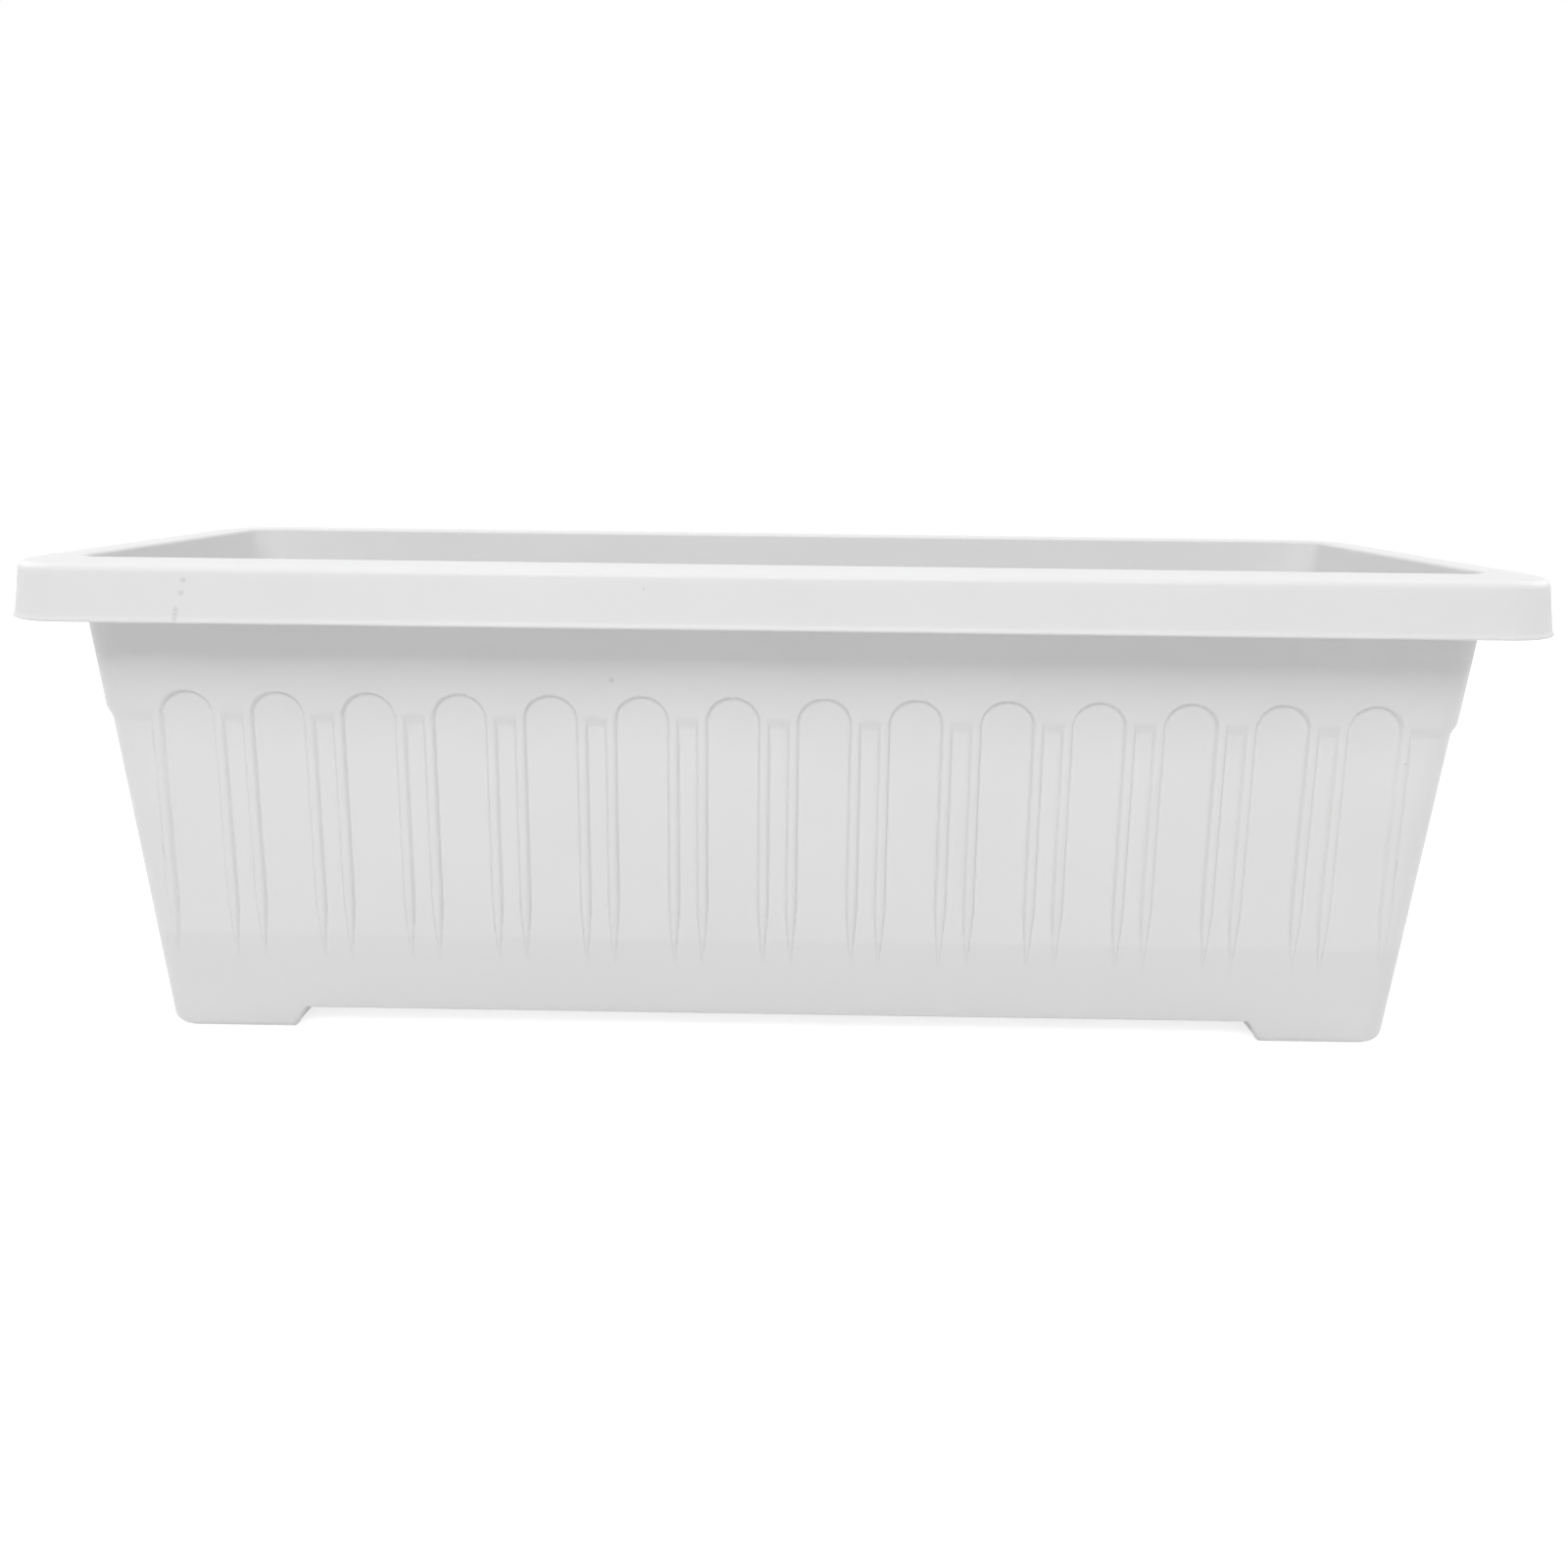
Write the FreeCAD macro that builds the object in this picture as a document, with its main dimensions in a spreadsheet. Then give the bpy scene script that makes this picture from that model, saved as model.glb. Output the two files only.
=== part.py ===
"""Balcony planter: a fluted trough with two lift-out drainage grids and six drain plugs."""
import FreeCAD
import Part
import os
import Sketcher

# Driving sizes in millimetres, degrees and counts. The origin is on the ground under the middle of the
# trough, +X runs along its length, +Z is up and the long front wall faces -Y.
SIZES = (
    # Rim
    ("rim_length", 600, "outside of the rim skirt along X"),
    ("rim_depth", 205, "outside of the rim skirt along Y"),
    ("overall_height", 200, "ground to the top of the rim"),
    ("rim_corner_radius", 30, "plan radius of the rim skirt"),
    ("skirt_height", 22, "top of the rim to the lower edge of its skirt"),
    ("skirt_flare", 1.6, "how far the skirt leans out at its lower edge"),
    ("skirt_wall", 2, "thickness of the skirt"),
    ("rim_deck", 2.4, "thickness of the rim's flat top"),
    ("rim_chamfer", 2, "outer top edge of the rim"),
    ("mouth_chamfer", 1.6, "inner top edge of the rim"),
    ("rim_overhang", 22.8, "skirt to wall panel, level with the skirt's lower edge"),
    # Walls and floor
    ("end_draft", 6.3, "lean of the end walls"),
    ("side_draft", 6.1, "lean of the long walls"),
    ("wall_corner_radius", 15, "upright corners of the wall panels"),
    ("wall", 2.2, "thickness behind the wall panels"),
    ("floor", 2.4, "thickness of the floor"),
    # Feet
    ("foot_height", 9.5, "ground to the underside of the floor"),
    ("foot_length", 62, "along X, at the floor"),
    ("foot_width", 42, "along Y, at the floor"),
    ("foot_slant", 5, "how far a foot's inner sides lean over its height"),
    ("foot_corner_radius", 6, "inner upright edge of a foot"),
    ("foot_chamfer", 2.4, "edge round the sole of a foot"),
    ("foot_wall", 3, "thickness of a hollow foot's sides"),
    # Flutes
    ("band_relief", 1.55, "how far the plain upper band stands proud of the panels"),
    ("step_rise", 5.4, "height of the soft ramp at the band's lower edge"),
    ("spring_height", 136.2, "ground to the spring of the arches"),
    ("arch_pitch", 36.25, "one arch to the next"),
    ("arch_width", 20.4, "panel between the two ribs of an arch"),
    ("arch_lip", 0.2, "how far an arch's edge stands inside its ribs"),
    ("arch_margin", 5, "least room between the last rib and the end of a wall"),
    ("rib_width", 4.4, "width of a rib at the panel"),
    ("rib_crest", 1.6, "width of a rib's flat crest"),
    ("rib_shy", 0.1, "how far a rib's crest stays under the band"),
    ("rib_taper", 13, "length of a rib's pointed end"),
    ("rib_tip_height", 33, "ground to the tip of a rib"),
    # Drains and plugs
    ("drains", 6, "drain holes along the middle of the floor"),
    ("drain_inset", 57.5, "end of the trough at the ground to the middle of the first drain"),
    ("drain_diameter", 12.4, "hole in the floor"),
    ("plug_clearance", 0.1, "radial gap between a plug and its hole"),
    ("plug_reach", 7.5, "shank below the floor's top"),
    ("plug_sides", 8, "flat sides of the flange"),
    ("plug_flange_width", 20, "flange that seals on the floor, across its flats"),
    ("plug_flange", 2, "thickness of the flange"),
    ("plug_fin_width", 12, "pull fin on the flange, along X"),
    ("plug_fin", 2.4, "thickness of the pull fin"),
    ("plug_fin_height", 8, "pull fin above the flange"),
    ("plug_fin_corner", 2.4, "cut upper corners of the pull fin"),
    # Drainage grids
    ("grid_level", 44, "ground to the top of the grids"),
    ("grid_plate", 2.4, "thickness of a grid's plate"),
    ("grid_edge", 7, "depth of a grid's turned-down edge, plate included"),
    ("grid_wall", 2, "thickness of the turned-down edge"),
    ("grid_clearance", 1, "grid to trough wall at the lower end of the edge"),
    ("grid_seam", 1, "gap between the two grids"),
    ("leg_width", 16, "crossed webs of a leg at the plate"),
    ("leg_foot_width", 13, "crossed webs of a leg at the floor"),
    ("leg_web", 2, "thickness of a web"),
    ("leg_rows", 3, "legs along X in one grid"),
    ("leg_first", 32, "seam to the middle of the first leg"),
    ("leg_last", 20, "foot of the trough to the middle of the last leg, along X"),
    ("leg_inset", 12, "edge of the grid to the middle of a leg, along Y"),
    ("slot_width", 4, "drain slot along X"),
    ("slot_first", 14, "seam to the middle of the first slot"),
    ("slot_last", 16, "end of the grid to the middle of the last slot"),
    ("side_slots", 16, "slots in each side row of a grid"),
    ("side_slot_length", 24, "side slot along Y"),
    ("middle_slots", 9, "slots in the middle row of a grid"),
    ("middle_slot_length", 20, "middle slot along Y"),
    ("slot_bar", 6, "bar between two rows of slots"),
    ("finger_diameter", 24, "hole for lifting a grid"),
    ("finger_inset", 78, "end of the grid to the middle of the finger hole"),
    # Shared
    ("overrun", 1, "how far a cut runs past the face that it opens"),
    ("level_tolerance", 0.001, "how close in height counts as level"),
)

# Sizes worked out from the driving sizes
DERIVED = (
    ("skirt_level", "sizes.overall_height - sizes.skirt_height"),
    ("deck_level", "sizes.overall_height - sizes.rim_deck"),
    ("deck_middle", "sizes.overall_height - sizes.rim_deck / 2"),
    ("end_slope", "tan(sizes.end_draft * 1 deg)"),
    ("side_slope", "tan(sizes.side_draft * 1 deg)"),
    ("base_length", "sizes.rim_length - 2 * sizes.rim_overhang - 2 * skirt_level * end_slope"),
    ("base_depth", "sizes.rim_depth - 2 * sizes.rim_overhang - 2 * skirt_level * side_slope"),
    ("deck_flare", "sizes.skirt_flare * (1 - sizes.rim_deck / sizes.skirt_height)"),
    ("floor_top", "sizes.foot_height + sizes.floor"),
    ("gap_length", "base_length + 2 * sizes.foot_height * end_slope - 2 * sizes.foot_length"),
    ("gap_depth", "base_depth + 2 * sizes.foot_height * side_slope - 2 * sizes.foot_width"),
    ("step_top", "sizes.spring_height + sizes.step_rise / 2"),
    ("step_root", "sizes.spring_height - 3 * sizes.step_rise / 2"),
    ("rib_rise", "sizes.band_relief - sizes.rib_shy"),
    ("rib_lean", "atan((sizes.rib_width - sizes.rib_crest) / 2 / rib_rise) / 1 deg"),
    ("rib_offset", "(sizes.arch_width + sizes.rib_width) / 2"),
    ("rib_top", "step_top + sizes.rib_width"),
    ("arch_room", "sizes.arch_width + 2 * sizes.rib_width + 2 * sizes.arch_margin"),
    ("long_arches", "floor((base_length - arch_room) / sizes.arch_pitch) + 1"),
    ("end_arches", "floor((base_depth - arch_room) / sizes.arch_pitch) + 1"),
    ("drain_pitch", "(base_length - 2 * sizes.drain_inset) / (sizes.drains - 1)"),
    ("plug_radius", "sizes.drain_diameter / 2 - sizes.plug_clearance"),
    ("grid_underside", "sizes.grid_level - sizes.grid_plate"),
    ("grid_edge_level", "sizes.grid_level - sizes.grid_edge"),
    ("grid_half", "base_length / 2 + grid_edge_level * end_slope - sizes.wall - sizes.grid_clearance"),
    ("grid_depth", "base_depth + 2 * (grid_edge_level * side_slope - sizes.wall - sizes.grid_clearance)"),
    ("grid_corner", "sizes.wall_corner_radius - sizes.wall"),
    ("leg_row", "grid_depth / 2 - sizes.leg_inset"),
    ("leg_start", "sizes.grid_seam / 2 + sizes.leg_first"),
    ("leg_pitch", "(gap_length / 2 - sizes.leg_last - leg_start) / (sizes.leg_rows - 1)"),
    ("slot_row", "(sizes.middle_slot_length + sizes.side_slot_length) / 2 + sizes.slot_bar"),
    ("grid_start", "sizes.grid_seam / 2"),
    ("slot_start", "grid_start + sizes.slot_first"),
    ("slot_pitch", "(grid_half - sizes.slot_last - slot_start) / (sizes.side_slots - 1)"),
)

HALF_TURN = 180


def make_sheet(doc, name, rows):
    """A sheet with one aliased cell per row."""
    sheet = doc.addObject("Spreadsheet::Sheet", name)
    for line, (alias, content) in enumerate(rows, start=1):
        sheet.set(f"A{line}", alias)
        sheet.set(f"B{line}", content)
        sheet.setAlias(f"B{line}", alias)
    return sheet


doc = FreeCAD.newDocument("balcony_planter")
sizes = make_sheet(doc, "sizes", [(alias, str(size)) for alias, size, note in SIZES])
derived = make_sheet(doc, "derived", [(alias, "=" + formula) for alias, formula in DERIVED])
doc.recompute()


def value(expression):
    """The number that an expression on the sheets has now."""
    result = sizes.evalExpression(expression)
    return float(getattr(result, "Value", result))


def new_body(name):
    body = doc.addObject("PartDesign::Body", name)
    body.Label = name
    return body


def origin_feature(body, role):
    return next(feature for feature in body.Origin.OriginFeatures if feature.Role == role)


def new_sketch(body, name, plane, base=("0", "0", "0"), turn_axis=None, turn=None):
    """A sketch on an origin plane, moved in the plane's own axes and turned about one of them."""
    sketch = body.newObject("Sketcher::SketchObject", f"{body.Name}_{name}")
    sketch.AttachmentSupport = [(origin_feature(body, plane), "")]
    sketch.MapMode = "FlatFace"
    if turn:
        rotation = FreeCAD.Rotation(FreeCAD.Vector(*turn_axis), value(turn))
        sketch.AttachmentOffset = FreeCAD.Placement(FreeCAD.Vector(), rotation)
        sketch.setExpression("AttachmentOffset.Rotation.Angle", turn)
    for axis, place in zip("xyz", base):
        if place != "0":
            sketch.setExpression(f"AttachmentOffset.Base.{axis}", place)
    return sketch


def dimension(sketch, kind, where, expression):
    """A driving constraint whose value follows an expression."""
    index = sketch.addConstraint(Sketcher.Constraint(kind, *where, value(expression)))
    sketch.setExpression(f"Constraints[{index}]", expression)


def pin(sketch, edge, end, x, y):
    """Hold one end of an edge at a place measured from the sketch's origin."""
    dimension(sketch, "DistanceX", (-1, 1, edge, end), x)
    dimension(sketch, "DistanceY", (-1, 1, edge, end), y)


def draw_polygon(sketch, corners):
    """Straight edges through corners given as pairs of expressions."""
    points = [FreeCAD.Vector(value(x), value(y), 0) for x, y in corners]
    count = len(points)
    for index in range(count):
        sketch.addGeometry(Part.LineSegment(points[index], points[(index + 1) % count]))
    for index, (x, y) in enumerate(corners):
        sketch.addConstraint(Sketcher.Constraint("Coincident", index, 2, (index + 1) % count, 1))
        pin(sketch, index, 1, x, y)


def draw_rounded(sketch, low_x, high_x, low_y, high_y, radius):
    """A rectangle with rounded corners, its four sides given as expressions."""
    left, right, bottom, top = value(low_x), value(high_x), value(low_y), value(high_y)
    bend = value(radius)
    quarter = FreeCAD.Units.Quantity("90 deg").getValueAs("rad").Value
    runs = (
        ((left + bend, bottom), (right - bend, bottom)),
        ((right, bottom + bend), (right, top - bend)),
        ((right - bend, top), (left + bend, top)),
        ((left, top - bend), (left, bottom + bend)),
    )
    middles = (
        (right - bend, bottom + bend),
        (right - bend, top - bend),
        (left + bend, top - bend),
        (left + bend, bottom + bend),
    )
    up = FreeCAD.Vector(0, 0, 1)
    count = len(runs)
    for start, end in runs:
        sketch.addGeometry(Part.LineSegment(FreeCAD.Vector(*start, 0), FreeCAD.Vector(*end, 0)))
    for index, middle in enumerate(middles):
        circle = Part.Circle(FreeCAD.Vector(*middle, 0), up, bend)
        sketch.addGeometry(Part.ArcOfCircle(circle, (index - 1) * quarter, index * quarter))
    for index in range(count):
        arc = count + index
        sketch.addConstraint(Sketcher.Constraint("Tangent", index, 2, arc, 1))
        sketch.addConstraint(Sketcher.Constraint("Tangent", arc, 2, (index + 1) % count, 1))
        sketch.addConstraint(Sketcher.Constraint("Vertical" if index % 2 else "Horizontal", index))
        if index:
            sketch.addConstraint(Sketcher.Constraint("Equal", count, arc))
    dimension(sketch, "Radius", (count,), radius)
    dimension(sketch, "DistanceY", (-1, 1, 0, 1), low_y)
    dimension(sketch, "DistanceX", (-1, 1, 1, 1), high_x)
    dimension(sketch, "DistanceY", (-1, 1, 2, 1), high_y)
    dimension(sketch, "DistanceX", (-1, 1, 3, 1), low_x)


def draw_circle(sketch, x, y, radius):
    middle = FreeCAD.Vector(value(x), value(y), 0)
    edge = sketch.addGeometry(Part.Circle(middle, FreeCAD.Vector(0, 0, 1), value(radius)))
    dimension(sketch, "Radius", (edge,), radius)
    pin(sketch, edge, 3, x, y)


def plan_sketch(body, name, level, length, depth, radius):
    """A rounded outline round the Z axis at a level."""
    sketch = new_sketch(body, name, "XY_Plane", base=("0", "0", level))
    draw_rounded(sketch, f"-({length}) / 2", f"({length}) / 2", f"-({depth}) / 2", f"({depth}) / 2", radius)
    return sketch


def rim_plan(body, name, level, inset):
    """The outline of the rim at a level, moved inwards by an inset."""
    length = f"sizes.rim_length - 2 * ({inset})"
    depth = f"sizes.rim_depth - 2 * ({inset})"
    return plan_sketch(body, name, level, length, depth, f"sizes.rim_corner_radius - ({inset})")


def loft(body, name, sections, cut=False):
    """A ruled body through outlines, added or cut away."""
    kind = "PartDesign::SubtractiveLoft" if cut else "PartDesign::AdditiveLoft"
    feature = body.newObject(kind, f"{body.Name}_{name}")
    feature.Profile = sections[0]
    feature.Sections = sections[1:]
    feature.Ruled = True
    doc.recompute()
    return feature


def pad(body, name, sketch, length, both_ways=False, reverse=False, taper=None):
    """A straight body on a sketch, with sides that lean in if a taper is given."""
    feature = body.newObject("PartDesign::Pad", f"{body.Name}_{name}")
    feature.Profile = sketch
    feature.setExpression("Length", length)
    feature.SideType = "Symmetric" if both_ways else "One side"
    feature.Reversed = reverse
    if taper:
        feature.setExpression("TaperAngle", f"-({taper})")
    doc.recompute()
    return feature


def pocket(body, name, sketch, length, both_ways=False, reverse=False):
    """A cut that has to take something away."""
    before = body.Shape.Volume
    feature = body.newObject("PartDesign::Pocket", f"{body.Name}_{name}")
    feature.Profile = sketch
    feature.setExpression("Length", length)
    feature.SideType = "Symmetric" if both_ways else "One side"
    feature.Reversed = reverse
    doc.recompute()
    if not body.Shape.Volume < before:
        raise RuntimeError(f"{feature.Name} cuts nothing")
    return feature


def row(body, name, axis, pitch, count):
    """A row of copies along an origin axis, for use in repeat."""
    feature = body.newObject("PartDesign::LinearPattern", f"{body.Name}_{name}_row")
    feature.Direction = (origin_feature(body, axis), [""])
    feature.Mode = "Spacing"
    feature.setExpression("Offset", pitch)
    feature.setExpression("Occurrences", count)
    return feature


def mirror(body, name, plane):
    """A mirror image in an origin plane, for use in repeat."""
    feature = body.newObject("PartDesign::Mirrored", f"{body.Name}_{name}_{plane[:2]}_mirror")
    feature.MirrorPlane = (origin_feature(body, plane), [""])
    return feature


def repeat(body, name, originals, steps):
    """Copies of features by rows and mirrors, one step after the other."""
    feature = body.newObject("PartDesign::MultiTransform", f"{body.Name}_{name}")
    feature.Originals = originals
    feature.Transformations = steps
    body.Tip = feature
    doc.recompute()
    return feature


def fillet(body, name, wanted, radius):
    """Round the edges of the body that a test picks."""
    base = body.Tip
    names = [f"Edge{index}" for index, edge in enumerate(base.Shape.Edges, start=1) if wanted(edge)]
    feature = body.newObject("PartDesign::Fillet", f"{body.Name}_{name}")
    feature.Base = (base, names)
    feature.setExpression("Radius", radius)
    doc.recompute()
    return feature


def chamfer(body, name, wanted, size, second_size=None):
    """Cut off the edges of the body that a test picks, evenly or by two sizes."""
    base = body.Tip
    names = [f"Edge{index}" for index, edge in enumerate(base.Shape.Edges, start=1) if wanted(edge)]
    feature = body.newObject("PartDesign::Chamfer", f"{body.Name}_{name}")
    feature.Base = (base, names)
    feature.setExpression("Size", size)
    if second_size:
        feature.ChamferType = "Two distances"
        feature.setExpression("Size2", second_size)
    doc.recompute()
    return feature


def draft(body, name, axis, angle):
    """Lean the faces that look along an axis outwards, turning them about their line on the ground."""
    base = body.Tip
    faces = [
        f"Face{index}"
        for index, face in enumerate(base.Shape.Faces, start=1)
        if face.normalAt(0, 0).cross(axis).Length < value("sizes.level_tolerance")
    ]
    feature = body.newObject("PartDesign::Draft", f"{body.Name}_{name}")
    feature.Base = (base, faces)
    feature.NeutralPlane = (origin_feature(body, "XY_Plane"), [""])
    feature.Reversed = True
    feature.setExpression("Angle", angle)
    doc.recompute()


def add_leaning_block(body, low, high, offset="0"):
    """A block between two levels whose sides are the wall panels, moved outwards by an offset."""
    x = f"(derived.base_length / 2 + ({offset}))"
    y = f"(derived.base_depth / 2 + ({offset}))"
    sketch = new_sketch(body, "plan", "XY_Plane", ("0", "0", low))
    draw_polygon(sketch, ((f"-{x}", f"-{y}"), (x, f"-{y}"), (x, y), (f"-{x}", y)))
    pad(body, "block", sketch, f"({high}) - ({low})")
    draft(body, "end_draft", FreeCAD.Vector(1, 0, 0), "sizes.end_draft")
    draft(body, "side_draft", FreeCAD.Vector(0, 1, 0), "sizes.side_draft")
    fillet(body, "corners", lambda edge: not lies_level(edge), f"sizes.wall_corner_radius + ({offset})")


def combine(body, name, kind, tools):
    """Join other bodies to a body, or cut them out of it."""
    feature = body.newObject("PartDesign::Boolean", f"{body.Name}_{name}")
    feature.Type = kind
    feature.setObjects(tools)
    body.Tip = feature
    doc.recompute()


def lies_level(edge):
    """True if an edge keeps to one height."""
    return edge.BoundBox.ZLength < value("sizes.level_tolerance")


def lies_at(edge, level):
    """True if an edge lies wholly at a height."""
    box = edge.BoundBox
    near = value("sizes.level_tolerance")
    return abs(box.ZMin - level) < near and abs(box.ZMax - level) < near


def cut_foot_gap(body, name, plane, gap, reach):
    """Clear the space under the floor between the feet, with their leaning inner sides."""
    sketch = new_sketch(body, name, plane)
    flare = "sizes.foot_slant * (1 + sizes.overrun / sizes.foot_height)"
    draw_polygon(sketch, (
        (f"-{gap} / 2", "sizes.foot_height"),
        (f"{gap} / 2", "sizes.foot_height"),
        (f"{gap} / 2 + {flare}", "-sizes.overrun"),
        (f"-{gap} / 2 - {flare}", "-sizes.overrun"),
    ))
    pocket(body, f"{name}_cut", sketch, reach, both_ways=True)


def add_flutes(body, name, plane, wall_half, lean, count, mirror_plane, row_axis):
    """Arches on one wall and its mirror image: a recess under each arch head and a rib on each side."""
    first = f"-(derived.{count} - 1) / 2 * sizes.arch_pitch"
    slope = f"cos(sizes.{lean} * 1 deg)"
    spring = f"sizes.spring_height / {slope}"
    panel = (plane, ("0", "0", wall_half), (1, 0, 0), f"sizes.{lean}")
    alcove = new_sketch(body, f"{name}_arch", *panel)
    radius = "sizes.arch_width / 2 - sizes.arch_lip"
    draw_arch(alcove, first, spring, f"{spring} - 2 * sizes.step_rise", radius)
    features = [pocket(body, f"{name}_arch_cut", alcove, "sizes.band_relief + sizes.overrun", reverse=True)]
    tip = f"sizes.rib_tip_height / {slope}"
    shoulder = f"(sizes.rib_tip_height + sizes.rib_taper) / {slope}"
    top = f"derived.rib_top / {slope}"
    half = "sizes.rib_width / 2"
    for side, shift in (("low", "-derived.rib_offset"), ("high", "+derived.rib_offset")):
        middle = f"{first} {shift}"
        rib = new_sketch(body, f"{name}_rib_{side}", *panel)
        draw_polygon(rib, (
            (middle, tip),
            (f"{middle} + {half}", shoulder),
            (f"{middle} + {half}", top),
            (f"{middle} - {half}", top),
            (f"{middle} - {half}", shoulder),
        ))
        raised = pad(body, f"{name}_rib_{side}_pad", rib, "derived.rib_rise", taper="derived.rib_lean")
        features.append(raised)
    steps = [
        row(body, name, row_axis, "sizes.arch_pitch", f"derived.{count}"),
        mirror(body, name, mirror_plane),
    ]
    repeat(body, f"{name}_flutes", features, steps)


def draw_arch(sketch, middle, spring, foot, radius):
    """A round-headed outline: two uprights, a half circle over them and a straight foot."""
    x, y, low, bend = value(middle), value(spring), value(foot), value(radius)
    left, right = x - bend, x + bend
    half_turn = FreeCAD.Units.Quantity("180 deg").getValueAs("rad").Value
    circle = Part.Circle(FreeCAD.Vector(x, y, 0), FreeCAD.Vector(0, 0, 1), bend)
    base = sketch.addGeometry(Part.LineSegment(FreeCAD.Vector(left, low, 0), FreeCAD.Vector(right, low, 0)))
    rise = sketch.addGeometry(Part.LineSegment(FreeCAD.Vector(right, low, 0), FreeCAD.Vector(right, y, 0)))
    head = sketch.addGeometry(Part.ArcOfCircle(circle, 0, half_turn))
    fall = sketch.addGeometry(Part.LineSegment(FreeCAD.Vector(left, y, 0), FreeCAD.Vector(left, low, 0)))
    sketch.addConstraint(Sketcher.Constraint("Coincident", base, 2, rise, 1))
    sketch.addConstraint(Sketcher.Constraint("Tangent", rise, 2, head, 1))
    sketch.addConstraint(Sketcher.Constraint("Tangent", head, 2, fall, 1))
    sketch.addConstraint(Sketcher.Constraint("Coincident", fall, 2, base, 1))
    sketch.addConstraint(Sketcher.Constraint("Horizontal", base))
    sketch.addConstraint(Sketcher.Constraint("Vertical", rise))
    sketch.addConstraint(Sketcher.Constraint("Vertical", fall))
    dimension(sketch, "Radius", (head,), radius)
    pin(sketch, head, 3, middle, spring)
    dimension(sketch, "DistanceY", (-1, 1, base, 1), foot)


def make_rim():
    """An upturned tray: a flat deck with a bevelled edge and a skirt that leans out."""
    body = new_body("trough_rim")
    top = value("sizes.overall_height")
    loft(body, "block", [
        rim_plan(body, "top", "sizes.overall_height", "sizes.skirt_flare"),
        rim_plan(body, "skirt_foot", "derived.skirt_level", "0"),
    ])
    chamfer(body, "edge", lambda edge: lies_at(edge, top), "sizes.rim_chamfer")
    loft(body, "channel", [
        rim_plan(body, "channel_top", "derived.deck_level", "sizes.skirt_wall + derived.deck_flare"),
        rim_plan(body, "channel_foot", "derived.skirt_level", "sizes.skirt_wall"),
    ], cut=True)
    return body


def make_band():
    """The plain upper part of the walls, proud of the panels, with a soft ramp at its lower edge."""
    body = new_body("trough_band")
    add_leaning_block(body, "derived.step_root", "derived.deck_middle", "sizes.band_relief")
    low = value("derived.step_root")
    chamfer(body, "ramp", lambda edge: lies_at(edge, low), "2 * sizes.band_relief", "2 * sizes.step_rise")
    return body


def make_cavity():
    body = new_body("trough_cavity")
    add_leaning_block(body, "derived.floor_top", "sizes.overall_height + sizes.overrun", "-sizes.wall")
    return body


def make_trough():
    """Rim, walls, feet, floor and flutes in one moulding."""
    top = value("sizes.overall_height")
    rim = make_rim()
    band = make_band()
    cavity = make_cavity()
    body = new_body("trough")
    add_leaning_block(body, "0", "derived.deck_middle")
    # Gaps under the floor leave four corner feet
    cut_foot_gap(body, "long_gap", "XZ_Plane", "derived.gap_length", "sizes.rim_depth")
    cut_foot_gap(body, "end_gap", "YZ_Plane", "derived.gap_depth", "sizes.rim_length")
    fillet(body, "foot_corners", is_foot_corner, "sizes.foot_corner_radius")
    chamfer(body, "foot_edges", lambda edge: lies_at(edge, 0), "sizes.foot_chamfer")
    combine(body, "outside", "Fuse", [band, rim])
    # The cavity is plain inside, with a hollow in each foot
    combine(body, "inside", "Cut", [cavity])
    well = pocket(body, "well", well_plan(body), "derived.floor_top - sizes.floor")
    repeat(body, "wells", [well], [mirror(body, "well", "YZ_Plane"), mirror(body, "well", "XZ_Plane")])
    chamfer(body, "mouth", lambda edge: lies_at(edge, top) and is_inner(edge), "sizes.mouth_chamfer")
    drain = new_sketch(body, "drain", "XY_Plane", ("0", "0", "derived.floor_top"))
    draw_circle(drain, "-(sizes.drains - 1) / 2 * derived.drain_pitch", "0", "sizes.drain_diameter / 2")
    hole = pocket(body, "drain_hole", drain, "sizes.floor + sizes.overrun")
    drain_row = row(body, "drain", "X_Axis", "derived.drain_pitch", "sizes.drains")
    repeat(body, "drain_holes", [hole], [drain_row])
    for name, plane, wall_half, lean, mirror_plane, row_axis in (
        ("long", "XZ_Plane", "derived.base_depth / 2", "side_draft", "XZ_Plane", "X_Axis"),
        ("end", "YZ_Plane", "derived.base_length / 2", "end_draft", "YZ_Plane", "Y_Axis"),
    ):
        add_flutes(body, name, plane, wall_half, lean, f"{name}_arches", mirror_plane, row_axis)
    return body


def is_foot_corner(edge):
    """True for the upright inner edge of a foot, which leans both ways."""
    box = edge.BoundBox
    near = value("sizes.level_tolerance")
    return abs(box.ZMin) < near and abs(box.ZMax - value("sizes.foot_height")) < near


def is_inner(edge):
    """True for an edge of the mouth rather than of the rim's outside."""
    box = edge.BoundBox
    reach_x = value("derived.base_length") / 2 + value("sizes.overall_height * derived.end_slope")
    reach_y = value("derived.base_depth") / 2 + value("sizes.overall_height * derived.side_slope")
    return max(abs(box.XMin), abs(box.XMax)) < reach_x and max(abs(box.YMin), abs(box.YMax)) < reach_y


def well_plan(body):
    """The outline of the hollow in one foot, clear of its sides and its round outer corner at the floor."""
    lean = "sizes.foot_slant * (1 - sizes.floor / sizes.foot_height)"
    low_x = f"derived.gap_length / 2 + {lean} + sizes.foot_wall"
    high_x = "derived.base_length / 2 + sizes.floor * derived.end_slope - sizes.foot_wall"
    low_y = f"derived.gap_depth / 2 + {lean} + sizes.foot_wall"
    high_y = "derived.base_depth / 2 + sizes.floor * derived.side_slope - sizes.foot_wall"
    sketch = new_sketch(body, "well", "XY_Plane", ("0", "0", "derived.floor_top"))
    draw_rounded(sketch, low_x, high_x, low_y, high_y, "sizes.wall_corner_radius - sizes.foot_wall")
    return sketch


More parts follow.
